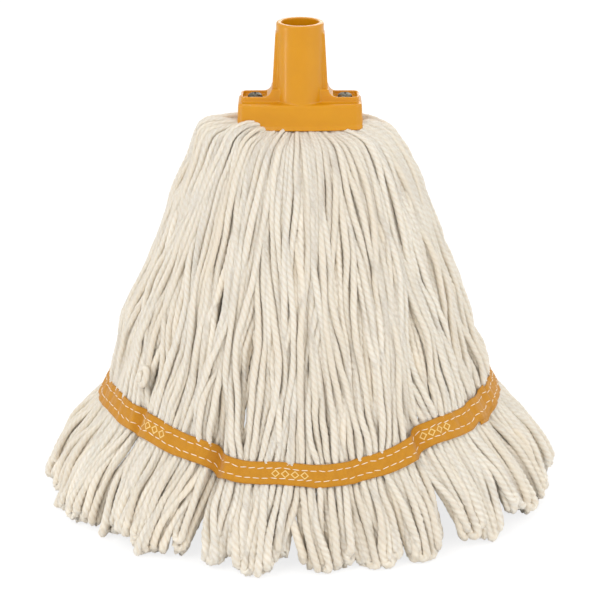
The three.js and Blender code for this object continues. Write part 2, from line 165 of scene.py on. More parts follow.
# Creases where the tape folds inwards: bearing from the front in degrees, depth, width in degrees,
# and how much lower the tape lies after the fold than before it.
creases = (
    (-24.4, 8.8 * mm, 2.3, 3.6 * mm),
    (-52.5, 5 * mm, 1.8, 1.6 * mm),
    (5.5, 1.8 * mm, 2.2, 0),
    (15.2, 2.0 * mm, 1.8, -0.8 * mm),
    (35.5, 6.5 * mm, 1.9, -3.6 * mm),
    (68.0, 3.5 * mm, 3.0, -1.6 * mm),
    (-95.0, 5 * mm, 3.0, 2.0 * mm),
    (112.0, 4 * mm, 3.0, 1.2 * mm),
    (143.0, 6 * mm, 2.8, 2.4 * mm),
    (-128.0, 4 * mm, 2.6, -2.0 * mm),
    (-162.0, 7 * mm, 3.0, -2.8 * mm),
    (171.0, 3 * mm, 2.5, 1.0 * mm),
)


def skirtTable():
    # A centripetal Catmull-Rom curve through the skirt's levels, and its length from the cap.
    middle = [(a + b) / 2 + skirt["hemBulge"] for a, b in zip(tapeMiddle, skirt["hem"])]
    knots = np.array([
        (*skirt["mouth"], mouthLevel),
        (*skirt["brow"], mouthLevel - skirt["browDrop"]),
        (*skirt["shoulder"], mouthLevel - skirt["shoulderDrop"]),
        (*skirt["waist"], mouthLevel - skirt["waistDrop"]),
        (*tapeMiddle, tapeLevel),
        (*middle, tapeLevel / 2),
        (*skirt["hem"], 0),
    ])
    padded = np.vstack([2 * knots[0] - knots[1], knots, 2 * knots[-1] - knots[-2]])
    steps = np.linspace(0, len(knots) - 1 - 1e-9, skirt["readings"] + 1)
    span = steps.astype(int)
    t = (steps - span)[:, None]
    gaps = np.sqrt(np.linalg.norm(np.diff(padded, axis=0), axis=1))[:, None]
    before, gap, after = gaps[span], gaps[span + 1], gaps[span + 2]
    p0, p1, p2, p3 = (padded[span + k] for k in range(4))
    leave = gap * ((p1 - p0) / before - (p2 - p0) / (before + gap) + (p2 - p1) / gap)
    arrive = gap * ((p2 - p1) / gap - (p3 - p1) / (gap + after) + (p3 - p2) / after)
    curve = (p1 * (2 * t**3 - 3 * t**2 + 1) + leave * (t**3 - 2 * t**2 + t)
             + p2 * (3 * t**2 - 2 * t**3) + arrive * (t**3 - t**2))
    return lengthAlong(curve[:, ::2]), curve


runLength, runCurve = skirtTable()
hemRun = runLength[-1]
tapeRun = np.interp(-tapeLevel, -runCurve[:, 2], runLength)
browRun = np.interp(-(mouthLevel - skirt["browDrop"]), -runCurve[:, 2], runLength)


def sideLift(bearing):
    # the tape's lift, from none at the front to all of it at the sides, with less at the back
    degrees = np.abs(np.degrees(turnFrom(bearing, 0)))
    kept = 1 - skirt["liftLost"] * smoothStep(degrees, *skirt["liftGoes"])
    return skirt["tapeLift"] * smoothStep(degrees, *skirt["liftComes"]) * kept


def creaseDepth(bearing, run, wider=1.0):
    # sum of bell curves round the skirt, each wider and fainter above and below the tape
    fade = bell(run, tapeRun, np.where(run < tapeRun, skirt["creaseAbove"], skirt["creaseBelow"]))
    total = 0
    for middle, depth, width, _ in creases:
        spread = width * wider * (1.8 - 0.8 * fade)
        total = total + depth * bell(np.degrees(turnFrom(bearing, middle)), 0, spread)
    return total * fade


def onSkirt(bearing, run, offset, lineX=None, facing=None):
    # A point at a bearing round an ellipse of the run's half width and half depth, offset outwards and
    # lifted as the tape is. Near the cap it slides to its place in the line of yarn along the bar.
    width, depth, level = (np.interp(run, runLength, runCurve[:, k]) for k in range(3))
    ahead = 2 * mm
    reach, rise = (np.interp(run + ahead, runLength, runCurve[:, k])
                   - np.interp(run - ahead, runLength, runCurve[:, k]) for k in (0, 2))
    tilt = np.arctan2(reach, -rise)
    out, up = np.cos(tilt), np.sin(tilt)
    sin, cos = np.sin(bearing), np.cos(bearing)
    across = offset - creaseDepth(bearing, run)
    lift = sideLift(bearing) * np.where(run < tapeRun, smoothStep(run, skirt["liftBegins"], tapeRun),
                                        np.clip((hemRun - run) / (hemRun - tapeRun), 0, 1))
    place = np.stack(np.broadcast_arrays((width + out * across) * sin, -(depth + out * across) * cos,
                                         level + up * across + lift), -1)
    normal = unit(np.stack(np.broadcast_arrays(out * sin, -out * cos, up), -1))
    if lineX is not None:
        fan = smoothStep(run, 0, browRun)[..., None]
        lineY = -facing * (skirt["mouth"][1] + offset * skirt["inLine"])
        place = blend(np.stack(np.broadcast_arrays(lineX, lineY, level), -1), place, fan)
        straight = np.stack(np.broadcast_arrays(0 * lineX, -facing + 0 * lineX, 0 * level), -1)
        normal = unit(blend(straight, normal, fan))
    return place, normal


# ---- yarn ----
yarn = {
    "hanks": 14,
    "radius": 2.5 * mm,
    "squeezed": 1.15 * mm,  # radius inside the cap
    "stitched": 2.0 * mm,  # radius under the tape
    "stitchedSpan": 12 * mm,  # how far from the tape's middle that pinch reaches
    "fuller": 0.2,  # share by which the radius grows from the tape to the tip
    "twist": 15 * mm,  # length of one full twist
    "plies": 3,
    "plyDepth": 0.075,  # share of the radius
    "slub": 0.08,  # thicker and thinner places, as a share of the radius
    "fibre": 14 * mm,  # length of the fibres' pattern
    "steps": 300,  # points along a leg
    "wiggle": 0.6 * mm,  # of each leg by itself
    "uneven": 1.5 * mm,  # of a pair's distance from the skirt's middle
    "sway": 1.8,  # sideways wander of a pair, in degrees round the skirt
    "strays": 0.09,  # share of the pairs that wander across their neighbours
    "heldSpan": 14 * mm,  # how far from the tape's middle its hold reaches
    "fringeBegins": 4 * mm,  # above the tape's middle
    "roll": 50,  # degrees that a pair turns about its centre line
    "drawnIn": 0.5,  # share of a crease's depth by which the yarn goes deeper than the tape
    "drawnWider": 2.2,  # times the crease's width
    "parting": 6,  # how far the fringe parts at a crease, in radians for each metre of its depth
    "partingWidth": 0.14,  # radians
    "locks": 36,  # that the fringe gathers into
    "lockEdge": 0.012,  # radians by which a lock's edge is uneven
    "lockLean": 1.9,  # degrees
    "lockSwing": 4 * mm,  # in or out at the tip
    "tipScatter": 15 * mm,
    "tipShared": 0.72,  # share of that scatter which the pairs of a lock have in common
    "tipRound": 1.1,  # metres of shortness for each squared radian from the lock's middle
    "tipLeast": 1 * mm,  # that any pair is short of the hem
    "tipMost": 32 * mm,  # to be added to that
    "overFloor": 1.55,  # radii from the floor to the middle of the lowest strand
    "barHalf": 37.2 * mm,  # half length of the line of yarn along the bar
    "saddleFoot": 7.5 * mm,  # above the cap's mouth
    "saddleRise": 10.6 * mm,  # of the folded yarn above the cap's mouth
    "layerTurn": 0.01,  # radians for each unit of a layer's phase, so that no layer hides another
}
# Slow waves round the skirt: how many, start, turns of drift down to the tape, strength.
waves = (
    (11, 0.9, 0.4, 0.7),
    (19, 2.3, -0.9, 0.75),
    (31, 4.0, 0.7, 0.7),
    (47, 0.3, -1.3, 0.5),
)
# Three layers of yarn, from the outside in: pairs of legs on each side of a hank, distance from the
# skirt's middle where the yarn hangs free and under the tape, bulge above the tape, pull of a lock's
# pairs towards each other at the tip, detail, extra height over the bar, and phase.
layers = (
    {"pairs": 4, "free": 2.4 * mm, "held": 1.9 * mm, "puff": 2.8 * mm, "pull": 0.36,
     "step": 1.9 * mm, "sides": 9, "rise": 1.4 * mm, "phase": 0.0},
    {"pairs": 4, "free": -0.5 * mm, "held": 0.1 * mm, "puff": 1.2 * mm, "pull": 0.16,
     "step": 2.5 * mm, "sides": 9, "rise": 0.0, "phase": 1.9},
    {"pairs": 4, "free": -3.6 * mm, "held": -1.9 * mm, "puff": 0.0, "pull": 0.0,
     "step": 3.6 * mm, "sides": 6, "rise": -1.4 * mm, "phase": 3.6},
)
# Places where the yarn stands out: how far, at which length from the cap and over what length, and
# for two of them at which bearing and over how much of a turn, in degrees.
swells = {
    "leftEnd": {"height": 11 * mm, "run": 25 * mm, "span": 15 * mm},
    "rightEnd": {"height": 6 * mm, "run": 19 * mm, "span": 10 * mm},
    "lipLock": {"height": 8 * mm, "run": 19 * mm, "span": 10 * mm, "bearing": -47, "turn": 10},
    "brim": {"height": 2.2 * mm, "run": 14 * mm, "span": 7 * mm},
    "aboveTape": {"height": 1, "run": tapeRun - 22 * mm, "span": 15 * mm},  # times a layer's own puff
    "slackSide": {"height": 8 * mm, "run": tapeRun - 62 * mm, "span": 30 * mm,
                  "bearing": -82, "turn": 20},
}
curl = {
    "bearing": -60.5,
    "begin": tapeRun - 50 * mm,
    "end": tapeRun - 16 * mm,
    "back": 9 * mm,
    "across": 6 * mm,
    "up": 5 * mm,
}


def lockTable():
    # the fringe's locks round the hem: where each ends, its middle, shortness, lean and outward swing
    widths = random.uniform(0.55, 1.45, yarn["locks"])
    ends = -math.pi + fullTurn * np.cumsum(widths) / widths.sum()
    middles = ends - math.pi * widths / widths.sum()
    shortness = random.uniform(0, 1, yarn["locks"]) ** 1.3
    lean = random.normal(0, 1, yarn["locks"])
    swing = random.uniform(-1, 1, yarn["locks"])
    return ends, middles, shortness, lean, swing


lockEnd, lockMiddle, lockShort, lockLean, lockSwing = lockTable()


def heldShare(run):
    # 1 under the tape's middle, falling off above and below it
    return bell(run, tapeRun, yarn["heldSpan"])


def fringeShare(run):
    # from 0 at the tape to 1 at the hem
    return smoothStep(run, tapeRun - yarn["fringeBegins"], hemRun)


def gather(bearing, run, phase):
    # neighbours sway together in slow waves round the skirt, so that the yarn parts into groups
    share = np.clip(run / tapeRun, 0, 1)
    body = np.sin(math.pi * np.clip(share, 0.02, 0.98)) ** 0.8
    total = 0
    for count, start, drift, strength in waves:
        angle = count * bearing + start + phase + drift * fullTurn * share
        total = total + strength * np.sin(angle) / count
    return total * body


def swell(name, bearing, run):
    # a bell curve along the yarn, and round the skirt where the swell has a bearing
    one = swells[name]
    height = one["height"] * bell(run, one["run"], one["span"])
    if "bearing" in one:
        height = height * bell(np.degrees(turnFrom(bearing, one["bearing"])), 0, one["turn"])
    return height


def capSwell(bearing, run):
    # Outwards and up round the cap's lip: the yarn springs up beyond the cap's ends, more on the
    # left, stands over the lip in one lock at the left of the front, and is uneven all round.
    sin = np.sin(bearing)
    left, right = swell("leftEnd", bearing, run), swell("rightEnd", bearing, run)
    ends = np.abs(sin) ** 6 * np.where(sin < 0, left, right)
    brim = swell("brim", bearing, run) * (1 + np.sin(61 * bearing) * np.sin(17 * bearing))
    height = ends + swell("lipLock", bearing, run) + brim
    away = np.stack(np.broadcast_arrays(0.6 * sin, -0.6 * np.cos(bearing), 0.7 + 0 * run), -1)
    return away * height[..., None]


def strayCurl(place, normal, bearing, run):
    # one pair low on the left curls once round on top of its neighbours before it reaches the tape
    chosen = np.abs(np.degrees(bearing) - curl["bearing"])
    chosen = (chosen == chosen.min())[:, None]
    turned = fullTurn * smoothStep(run, curl["begin"], curl["end"])
    ahead = unit(np.gradient(place, axis=1))
    side = unit(np.cross(ahead, normal))
    back = curl["back"] * np.sin(turned)
    across = curl["across"] * (1 - np.cos(turned))
    up = curl["up"] * np.sin(turned / 2)
    moved = ahead * back[..., None] - side * across[..., None] + normal * up[..., None]
    return place + chosen[..., None] * moved


def pairEnds(bearing):
    # The lock over each pair, the pair's angle from the lock's middle, and its length. It falls short
    # of the hem with its lock, by itself, and with the square of that angle.
    lock = np.searchsorted(lockEnd[:-1], bearing + random.normal(0, yarn["lockEdge"], len(bearing)))
    within = np.angle(np.exp(1j * (bearing - lockMiddle[lock])))
    short = blend(random.random(len(bearing)), lockShort[lock], yarn["tipShared"])
    drop = yarn["tipScatter"] * short + yarn["tipRound"] * within**2
    return lock, within, hemRun - yarn["tipLeast"] - np.clip(drop, 0, yarn["tipMost"])


def pairBearing(bearing, lock, within, share, run, layer):
    # The bearing all along a pair: it sways with its neighbours and by itself, least under the tape.
    # In the fringe it draws to its lock's middle, leans as the lock does, and parts at the creases.
    rows, free, fringe = len(run), 1 - heldShare(run), fringeShare(run)
    body = np.sin(math.pi * np.clip(run / tapeRun, 0, 1))
    stray = 1 + 1.6 * (random.random((rows, 1)) < yarn["strays"])
    sway = math.radians(yarn["sway"]) * stray * (0.3 + 0.7 * body) * np.clip(run / (60 * mm), 0, 1)
    angle = bearing[:, None] + gather(bearing[:, None], run, layer["phase"])
    angle = angle + sway * wander(rows, share, 0.9, 4) * (0.35 + 0.65 * free) * (1 - 0.5 * fringe)
    angle = angle - layer["pull"] * within[:, None] * fringe**1.3
    angle = angle + math.radians(yarn["lockLean"]) * lockLean[lock][:, None] * fringe**2
    for middle, depth, _, _ in creases:
        off = turnFrom(angle, middle)
        near = np.exp(-np.abs(off) / yarn["partingWidth"])
        angle = angle + np.sign(off[:, :1]) * near * fringe * depth * yarn["parting"]
    return angle


def pairOffset(angle, lock, share, run, layer):
    # The distance from the skirt's middle all along a pair: the layer's own, uneven, more above the
    # tape, swung in or out with the lock, and drawn in at the creases.
    rows, free = len(run), 1 - heldShare(run)
    offset = blend(layer["held"], layer["free"], free)
    lively = blend(0.15, 1, free) * np.clip(run / (50 * mm), 0.2, 1)
    offset = offset + yarn["uneven"] * wander(rows, share, 1.3, 4) * lively
    bulge = layer["puff"] * swell("aboveTape", angle, run)
    offset = offset + bulge * (0.7 + 0.3 * wander(rows, share, 0.5)) + swell("slackSide", angle, run)
    offset = offset + yarn["lockSwing"] * lockSwing[lock][:, None] * fringeShare(run)
    return offset - yarn["drawnIn"] * creaseDepth(angle, run, yarn["drawnWider"])


def pairPaths(bearing, facing, turn, layer):
    # centre line, outward direction, roll and run of each pair of legs, as arrays of pairs by steps
    rows = len(bearing)
    share = np.linspace(0, 1, yarn["steps"])[None, :]
    lock, within, end = pairEnds(bearing)
    run = share * end[:, None]
    angle = pairBearing(bearing, lock, within, share, run, layer)
    offset = pairOffset(angle, lock, share, run, layer)
    lineX = (turn * yarn["barHalf"])[:, None] + 0 * run
    place, normal = onSkirt(angle, run, offset, lineX, facing[:, None])
    place = place + capSwell(angle, run)
    if layer is layers[0]:
        place = strayCurl(place, normal, bearing, run)
    roll = math.radians(yarn["roll"]) * wander(rows, share, 1.0) * (1 - heldShare(run))
    tipRoll = random.choice([-1, 1], (rows, 1)) * random.uniform(0.3, 3.0, (rows, 1))
    return place, normal, roll + tipRoll * fringeShare(run) ** 1.5, run


def legRadius(run):
    # squeezed in the cap, full below the brow, pinched under the tape, fuller towards the tips
    free = blend(yarn["squeezed"], yarn["radius"], smoothStep(run, 0, browRun * 1.6))
    free = free * (1 + yarn["fuller"] * smoothStep(run, tapeRun, hemRun))
    pinch = bell(run, tapeRun, yarn["stitchedSpan"])
    return free - (yarn["radius"] - yarn["stitched"]) * pinch


def splitPair(place, normal, roll, run):
    # The two legs lie either side of the centre line, turned about it by the roll. Each leg also
    # wiggles by itself, least under the tape and inside the cap.
    ahead = unit(np.gradient(place, axis=1))
    side = unit(np.cross(ahead, normal))
    out = unit(np.cross(side, ahead))
    rows, share, fromCap = len(run), run / hemRun, 40 * mm
    loose = yarn["wiggle"] * np.clip(run / fromCap, 0, 1) * (1 - 0.75 * heldShare(run))
    loose = loose * (0.45 + 0.55 * smoothStep(run, fromCap, tapeRun))
    apart = legRadius(run)[..., None] * 1.03
    shift = side * np.cos(roll)[..., None] + out * np.sin(roll)[..., None]
    legs = []
    for sign in (1, -1):
        sideways = (loose * wander(rows, share, 4.0, 4))[..., None] * side
        outwards = (loose * wander(rows, share, 4.0, 4))[..., None] * out
        legs.append(place + sign * shift * apart + sideways + outwards)
    return legs[0], legs[1], out


def turnRound(legA, legB, out):
    # half an ellipse that joins the ends of two legs, in the plane of the legs
    centre, half = (legA[-1] + legB[-1]) / 2, (legA[-1] - legB[-1]) / 2
    ahead = unit(legA[-1] - legA[-3] + legB[-1] - legB[-3])
    angle = np.linspace(0, math.pi, 9)[1:-1, None]
    bend = centre + half * np.cos(angle) + ahead * np.linalg.norm(half) * 1.15 * np.sin(angle)
    return bend, np.repeat(out[-1:], len(bend), 0)


def saddle(start, end, rise, reach):
    # up from one leg's top, over the bar in half an ellipse and down to the other leg's top
    angle = np.linspace(0, math.pi, 15)[:, None]
    sin, cos = np.sin(angle[:, 0]), np.cos(angle[:, 0])
    side = -np.sign(end[1])
    flat = blend(start, end, (1 - np.cos(angle)) / 2)
    flat[:, 1] = side * reach * cos
    flat[:, 2] = mouthLevel + blend(yarn["saddleFoot"], rise, sin)
    return flat, unit(np.stack([0 * sin, side * cos, sin], -1))


def yarnRing(front, back, rise):
    # One endless strand: down and up the front, over the bar, down and up the back, over the bar.
    frontA, frontB, frontOut, frontRun = front
    backA, backB, backOut, backRun = back
    reach = abs(frontA[0, 1])
    bendFront, bendFrontOut = turnRound(frontA, frontB, frontOut)
    bendBack, bendBackOut = turnRound(backB, backA, backOut)
    overB, overBOut = saddle(frontB[0], backB[0], rise, reach)
    overA, overAOut = saddle(backA[0], frontA[0], rise, reach)
    path = np.vstack([frontA, bendFront, frontB[::-1], overB, backB, bendBack, backA[::-1], overA])
    path[:, 2] = np.maximum(path[:, 2], yarn["radius"] * yarn["overFloor"])
    out = np.vstack([frontOut, bendFrontOut, frontOut[::-1], overBOut, backOut, bendBackOut,
                     backOut[::-1], overAOut])
    tip = np.full(len(bendFront), hemRun)
    inCap = np.zeros(len(overA))
    run = np.concatenate([frontRun, tip, frontRun[::-1], inCap, backRun, tip, backRun[::-1], inCap])
    return path, out, run


def resample(path, step, *others):
    # the closed path and what goes with it, evenly spaced along its length
    length = lengthAlong(np.vstack([path, path[:1]]))
    count = int(length[-1] / step)
    at = np.arange(count) * length[-1] / count
    result = []
    for values in (path, *others):
        values = values.reshape(len(values), -1)
        columns = np.vstack([values, values[:1]]).T
        result.append(np.stack([np.interp(at, length, column) for column in columns], -1))
    return at, length[-1], result


def yarnTube(path, out, run, layer):
    # Section round the path: a circle with a groove between each two plies, turned with the
    # distance along the strand, and a little thicker and thinner by places.
    at, total, (path, out, run) = resample(path, layer["step"], out, run)
    run = run[:, 0]
    ahead = unit(np.roll(path, -1, 0) - np.roll(path, 1, 0))
    side = unit(np.cross(ahead, out))
    out = np.cross(side, ahead)
    section = fullTurn * np.arange(layer["sides"]) / layer["sides"]
    twist = fullTurn * round(total / yarn["twist"]) * at / total
    angle = section[None, :] + twist[:, None]
    ridge = -np.cos(yarn["plies"] * section)
    slub = 1 + yarn["slub"] * wander(1, at[None, :] / total, 17.0, 5)[0]
    radius = (legRadius(run) * slub)[:, None] * (1 + yarn["plyDepth"] * ridge[None, :])
    points = (path[:, None, :] + radius[..., None] * (np.cos(angle)[..., None] * side[:, None, :]
              + np.sin(angle)[..., None] * out[:, None, :]))
    fibre = np.stack(np.broadcast_arrays(np.cos(section), np.sin(section),
                                         at[:, None] / yarn["fibre"]), -1)
    return points.reshape(-1, 3), fibre.reshape(-1, 3), np.tile((ridge + 1) / 2, len(at))


def yarnCorners(count, sides, first, columns):
    # each strand is cut into four columns of the bake map, one for each leg, with a margin round them
    place = 4 * np.arange(count) / count
    column = np.minimum(place.astype(int), 3)
    low = place - column
    sideMargin, endMargin = 0.04, 0.002
    left = (first + column)[:, None] + sideMargin + (1 - 2 * sideMargin) * np.arange(sides) / sides
    right = left + (1 - 2 * sideMargin) / sides
    low = np.broadcast_to(low[:, None], left.shape)
    high = low + 4 / count
    u = np.stack([left, right, right, left], -1) / columns
    v = endMargin + (1 - 5 * endMargin) * np.stack([low, low, high, high], -1)
    return np.stack([u, v], -1).reshape(-1, 4, 2)


def layerRings(layer):
    # every endless strand of a layer, from the left end of the bar to the right
    count = yarn["hanks"] * layer["pairs"]
    turn = -1 + 2 * (np.arange(count) + 0.5) / count
    turns = np.concatenate([turn, turn])
    facing = np.repeat([1.0, -1.0], count)
    bearing = np.where(facing > 0, turns * math.pi / 2, math.pi - turns * math.pi / 2)
    bearing = turnFrom(bearing + layer["phase"] * yarn["layerTurn"], 0)
    place, normal, roll, run = pairPaths(bearing, facing, turns, layer)
    legA, legB, out = splitPair(place, normal, roll, run)
    rings = []
    for i in range(count):
        front = (legA[i], legB[i], out[i], run[i])
        back = (legA[i + count], legB[i + count], out[i + count], run[i + count])
        rings.append(yarnRing(front, back, yarn["saddleRise"] + layer["rise"]))
    return rings


def addYarn(material):
    # each hank is one piece, with its share of the rings of every layer
    rings = [layerRings(layer) for layer in layers]
    for hank in range(yarn["hanks"]):
        strands = [(ring, layer) for layer, made in zip(layers, rings)
                   for ring in made[hank * layer["pairs"]:(hank + 1) * layer["pairs"]]]
        points, quads, corners, fibres, ridges, tints = [], [], [], [], [], []
        base = 0
        for number, ((path, out, run), layer) in enumerate(strands):
            tube, fibre, ridge = yarnTube(path, out, run, layer)
            sides = layer["sides"]
            count = len(tube) // sides
            points.append(tube)
            quads.append(gridQuads(count, sides, True, True) + base)
            corners.append(yarnCorners(count, sides, 4 * number, 4 * len(strands)))
            fibres.append(fibre + random.uniform(0, 50, 3))
            ridges.append(ridge)
            tints.append(np.full(len(tube), random.random()))
            base += len(tube)
        name = f"yarn_{hank + 1:02d}"
        piece = addMesh(name, np.vstack(points), np.vstack(quads), np.vstack(corners))
        addNumbers(piece, "fibre", np.vstack(fibres))
        addNumbers(piece, "ridge", np.concatenate(ridges))
        addNumbers(piece, "tint", np.concatenate(tints))
        piece.data.materials.append(material)
        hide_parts(f"yarn_hank_{hank + 1:02d}")
    print("yarn:", yarn["hanks"], "hanks,", sum(len(made) for made in rings), "endless strands,",
          "the last hank has", len(piece.data.polygons), "faces")


# ---- tail tape ----
tape = {
    "thickness": 0.9 * mm,
    "gap": 0.3 * mm,  # under the tape, and between the turns of a lap
    "around": 900,
    "across": 9,
    "ripple": 0.7 * mm,
    "slowWaver": 0.9 * mm,  # of the tape's level
    "quickWaver": 0.6 * mm,
    "overlap": 12.0,  # degrees that the ends lap over each other
    "lapBearing": 60.0,
    "lapClimb": 5.0,  # degrees over which the end climbs on to its beginning
    "lapStep": 0.3,  # how much higher the lapped end lies, as a share of half the tape's width
    "bakeStrips": 8,
}


def tapePoint(bearing, across, offset):
    # across goes from 1 at the upper edge to -1 at the lower one; ripples ride on the skirt's shape
    ripple = np.sin(53 * bearing + 1.3) + 0.6 * np.sin(97 * bearing + 2 * across)
    waver = tape["slowWaver"] * np.sin(7 * bearing + 0.6) + tape["quickWaver"] * np.sin(17 * bearing)
    for middle, _, _, step in creases:
        off = np.degrees(turnFrom(bearing, middle))
        waver = waver + step / 2 * np.tanh(off / 0.8) * bell(off, 0, 12)
    run = tapeRun + waver - across * tapeWidth / 2
    return onSkirt(bearing, run, offset + tape["ripple"] * ripple / 1.6)


def lapShare(past):
    # from 0 to 1 as the tape comes round to its beginning and climbs on to it
    return smoothStep(past, fullTurn - math.radians(tape["lapClimb"]), fullTurn)


def tapeCorners(quads, columns):
    # the bake map in strips, each with a stretch of the tape's length
    rows, strips, margin = tape["around"], tape["bakeStrips"], 0.04
    i, k = np.divmod(np.arange(len(quads)), columns)
    u = np.stack([i, i, i + 1, i + 1], -1) / rows
    v = margin + (1 - 2 * margin) * np.stack([k, k + 1, k + 1, k], -1) / columns
    strip = np.minimum((u[:, :1] * strips).astype(int), strips - 1)
    return np.stack([u * strips - strip, (strip + v) / strips], -1)


def addTape(name, side, replaced, material):
    # A strip once round and a little more, whose lapped end lies on its beginning. Each section is
    # the outer face from top to bottom and the inner face back up, and a lid closes each end.
    rows = tape["around"]
    turns = np.linspace(0, fullTurn + math.radians(tape["overlap"]), rows)
    bearing = math.radians(tape["lapBearing"]) + turns
    lapped = lapShare(turns)[:, None]
    across = np.linspace(1, -1, tape["across"])
    middle = side * (skirt["thickness"] / 2 + tape["gap"] + tape["thickness"] / 2)
    lap = side * lapped * (tape["thickness"] + tape["gap"])
    faces = []
    for face in (1, -1):
        offset = middle + face * tape["thickness"] / 2 * (1 - 0.5 * np.abs(across) ** 8)
        height = across[None, ::face] + tape["lapStep"] * lapped
        place, _ = tapePoint(bearing[:, None], height, offset[None, :] + lap)
        faces.append(place)
    points = np.concatenate(faces, 1)
    columns = points.shape[1]
    quads = gridQuads(rows, columns, False, True)
    lid = np.arange(tape["across"] - 1)
    facing = columns - 1 - lid
    first = np.stack([lid, facing, facing - 1, lid + 1], -1)
    last = (rows - 1) * columns + first[:, ::-1]
    corners = tapeCorners(quads, columns)
    lidCorners = np.full((2 * len(first), 4, 2), 0.001)
    allQuads = np.vstack([quads[:, ::-1], first[:, ::-1], last[:, ::-1]])
    piece = addMesh(name, points.reshape(-1, 3), allQuads, np.vstack([corners[:, ::-1], lidCorners]))
    length = lengthAlong(points[:, tape["across"] // 2])
    level = np.concatenate([across, across[::-1]]) * tapeWidth / 2
    weave = np.stack(np.broadcast_arrays(length[:, None], level[None, :], 0 * length[:, None]), -1)
    addNumbers(piece, "weave", weave.reshape(-1, 3))
    piece.data.materials.append(material)
    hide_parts(replaced)
    print(name, "is", round(float(length[-1]) * 1000), "mm long")


# ---- stitches ----
stitch = {
    "pitch": 6.2 * mm,
    "length": 5.0 * mm,
    "radius": 0.3 * mm,
    "inset": 5 * mm,  # from the tape's edge
    "lean": 0.35 * mm,  # of a stitch's ends, up and down
    "shift": 0.15 * mm,  # of the whole stitch
    "rings": 6,
    "sides": 6,
}


def addStitches(name, side, across, replaced, material):
    # Each stitch is a spindle that rises out of the tape and dips back into it at both ends.
    bearing = np.linspace(-math.pi, math.pi, 4001)
    height = skirt["thickness"] / 2 + tape["gap"] + tape["thickness"]
    line, _ = tapePoint(bearing, np.full_like(bearing, across), side * height)
    length = lengthAlong(line)
    count = int(length[-1] / stitch["pitch"])
    t = np.linspace(-1, 1, stitch["rings"])
    at = (np.arange(count)[:, None] + 0.5) * length[-1] / count + t[None, :] * stitch["length"] / 2
    lean = random.normal(0, stitch["lean"], (count, 1)) * t
    lean = lean + random.normal(0, stitch["shift"], (count, 1))
    angle = np.interp(at, length, bearing)
    past = np.mod(angle - math.radians(tape["lapBearing"]), fullTurn)
    lapped = np.where(past < math.radians(tape["overlap"]), 1, lapShare(past))
    rise = stitch["radius"] * (0.75 - 0.9 * np.abs(t) ** 3)
    outwards = height + rise[None, :] + lapped * (tape["thickness"] + tape["gap"])
    upwards = across + lean / (tapeWidth / 2) + tape["lapStep"] * lapped
    place, out = tapePoint(angle, upwards, side * outwards)
    ahead = unit(np.gradient(place, axis=1))
    sideways = unit(np.cross(ahead, out))
    out = np.cross(sideways, ahead)
    section = fullTurn * np.arange(stitch["sides"]) / stitch["sides"]
    radius = stitch["radius"] * np.sqrt(np.clip(1.02 - t**4, 0.02, 1))
    ring = (np.cos(section)[:, None] * sideways[:, :, None, :]
            + np.sin(section)[:, None] * out[:, :, None, :])
    points = place[:, :, None, :] + radius[None, :, None, None] * ring
    last = (stitch["rings"] - 1) * stitch["sides"]
    lids = np.array([[3, 2, 1, 0], [5, 4, 3, 0], [last, last + 1, last + 2, last + 3],
                     [last, last + 3, last + 4, last + 5]])
    one = np.vstack([gridQuads(stitch["rings"], stitch["sides"], False, True), lids])
    each = stitch["rings"] * stitch["sides"]
    quads = (one[None] + each * np.arange(count)[:, None, None]).reshape(-1, 4)
    piece = addMesh(name, points.reshape(-1, 3), quads)
    piece.data.materials.append(material)
    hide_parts(replaced)
    return count


# ---- cap and fasteners ----
capFinish = {"voxel": 0.55 * mm, "passes": 6}
boltFinish = {"voxel": 0.22 * mm, "passes": 4}


def rounded(node, name, finish, material):
    # A merged copy of a CAD solid, rebuilt on a fine grid and relaxed, which rounds its edges as a
    # mould does.
    piece = bpy.data.objects.new(name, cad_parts[node].data.copy())
    piece.data.materials.clear()
    bpy.context.scene.collection.objects.link(piece)
    for kind, settings in (
        ("WELD", {"merge_threshold": 0.00001}),
        ("REMESH", {"mode": "VOXEL", "voxel_size": finish["voxel"], "use_smooth_shade": True}),
        ("SMOOTH", {"factor": 0.5, "iterations": finish["passes"]}),
    ):
        modifier = piece.modifiers.new(kind.lower(), kind)
        for key, value in settings.items():
            setattr(modifier, key, value)
    shaped = bpy.data.meshes.new_from_object(piece.evaluated_get(bpy.context.evaluated_depsgraph_get()))
    piece.modifiers.clear()
    piece.data = shaped
    piece.data.materials.clear()
    piece.data.materials.append(material)
    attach(piece, "root")
    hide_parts(node)
    print(name, "has", len(shaped.polygons), "faces")


# ---- shaders ----
class Wire:
    # A node's output that takes Python arithmetic: each sign adds a Math node.
    def __init__(self, paint, socket):
        self.paint, self.socket = paint, socket

    def math(self, operation, *values):
        return self.paint.node("Math", {"operation": operation}, dict(enumerate(values)))

    def __add__(self, other):
        return self.math("ADD", self, other)

    def __sub__(self, other):
        return self.math("SUBTRACT", self, other)

    def __rsub__(self, other):
        return self.math("SUBTRACT", other, self)

    def __mul__(self, other):
        return self.math("MULTIPLY", self, other)

    def __truediv__(self, other):
        return self.math("DIVIDE", self, other)

    def __rtruediv__(self, other):
        return self.math("DIVIDE", other, self)

    def __mod__(self, other):
        return self.math("FLOORED_MODULO", self, other)

    def __abs__(self):
        return self.math("ABSOLUTE", self)

    def __lt__(self, other):
        return self.math("LESS_THAN", self, other)

    def __gt__(self, other):
        return self.math("GREATER_THAN", self, other)

    __radd__, __rmul__ = __add__, __mul__


